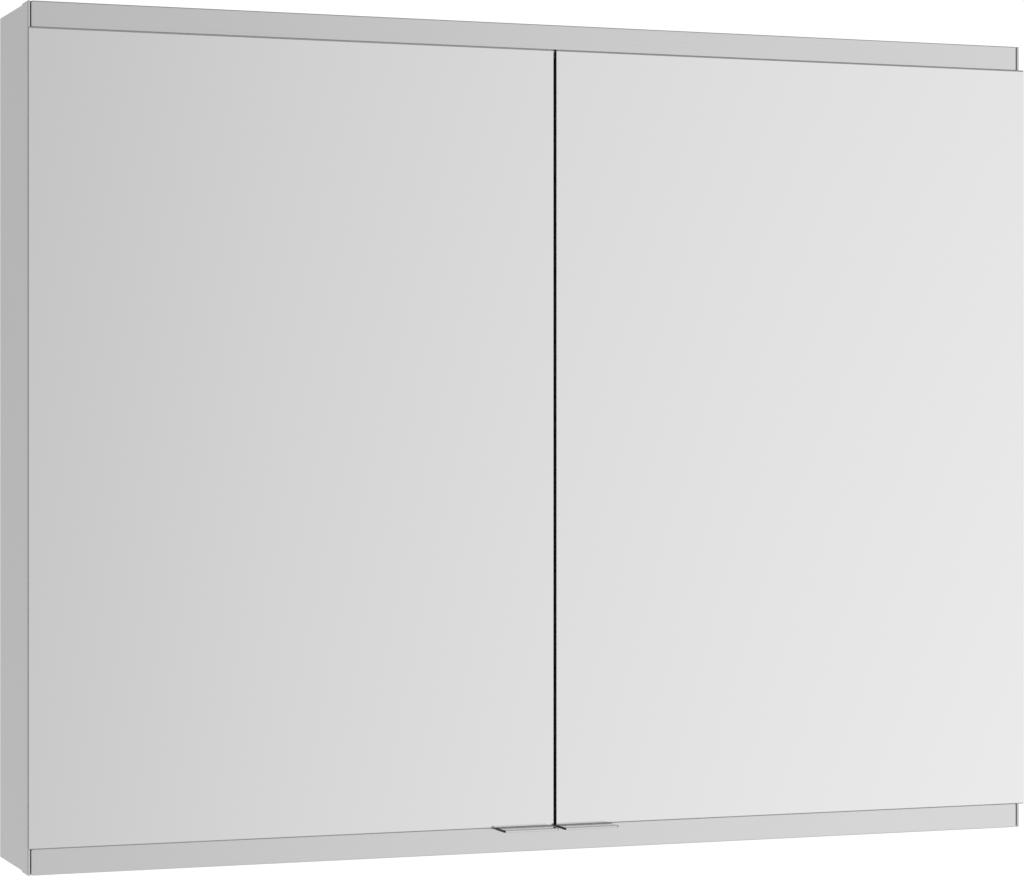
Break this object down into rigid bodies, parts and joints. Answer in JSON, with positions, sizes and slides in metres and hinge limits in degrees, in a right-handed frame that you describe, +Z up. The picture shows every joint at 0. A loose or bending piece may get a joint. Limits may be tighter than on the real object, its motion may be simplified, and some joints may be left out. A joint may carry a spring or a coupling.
{
  "type": "hanging wall cabinet",
  "caption": "Shallow wall-hung mirror cabinet: aluminium body, double-sided mirror doors on side hinges, glass shelves, lip handles.",
  "frame": {"origin": "centre of the wall face, in the middle of the four wall-screw holes", "axes": "+X to the right of a person facing the doors, +Y into the wall, +Z up"},
  "size_m": [0.9, 0.1455, 0.7],
  "materials": {
    "anodised_aluminium": "satin silver anodised",
    "silver_mirror": "silvered float glass with polished edges",
    "clear_glass": "clear toughened glass, polished edges",
    "zinc_plated_steel": "bright nickel plated steel",
    "clear_plastic": "soft translucent polyurethane",
    "grey_plastic": "fine-textured moulded ABS",
    "white_board": "smooth white laminated board"
  },
  "bodies": {
    "cabinet": {"side_panel_left": "anodised_aluminium", "side_panel_right": "anodised_aluminium", "front_trim_left": "anodised_aluminium", "front_trim_right": "anodised_aluminium", "top_panel": "anodised_aluminium", "bottom_panel": "anodised_aluminium", "top_front_rail": "anodised_aluminium", "bottom_front_rail": "anodised_aluminium", "top_fascia": "anodised_aluminium", "bottom_fascia": "anodised_aluminium", "centre_divider": "anodised_aluminium", "back_panel": "white_board", "upper_hanging_rail": "anodised_aluminium", "lower_hanging_rail": "anodised_aluminium", "corner_brackets": "zinc_plated_steel", "bracket_screws": "zinc_plated_steel", "upper_shelf_left": "clear_glass", "upper_shelf_right": "clear_glass", "lower_shelf_left": "clear_glass", "lower_shelf_right": "clear_glass", "shelf_pins_left": "zinc_plated_steel", "shelf_pins_right": "zinc_plated_steel", "hinge_bases": "zinc_plated_steel", "hinge_pins": "zinc_plated_steel", "hinge_screws": "zinc_plated_steel", "door_bumpers": "clear_plastic", "end_caps": "grey_plastic"},
    "left_door": {"front_mirror_left": "silver_mirror", "rear_mirror_left": "silver_mirror", "handle_left": "anodised_aluminium", "hinge_goosenecks_left": "zinc_plated_steel"},
    "right_door": {"front_mirror_right": "silver_mirror", "rear_mirror_right": "silver_mirror", "handle_right": "anodised_aluminium", "hinge_goosenecks_right": "zinc_plated_steel"}
  },
  "joints": [
    {"name": "left_door_swing", "type": "hinge", "parent": "cabinet", "child": "left_door", "pos_m": [-0.444, -0.113, 0], "axis": [0, 0, -1], "range_deg": [0, 100]},
    {"name": "right_door_swing", "type": "hinge", "parent": "cabinet", "child": "right_door", "pos_m": [0.444, -0.113, 0], "axis": [0, 0, 1], "range_deg": [0, 100]}
  ]
}
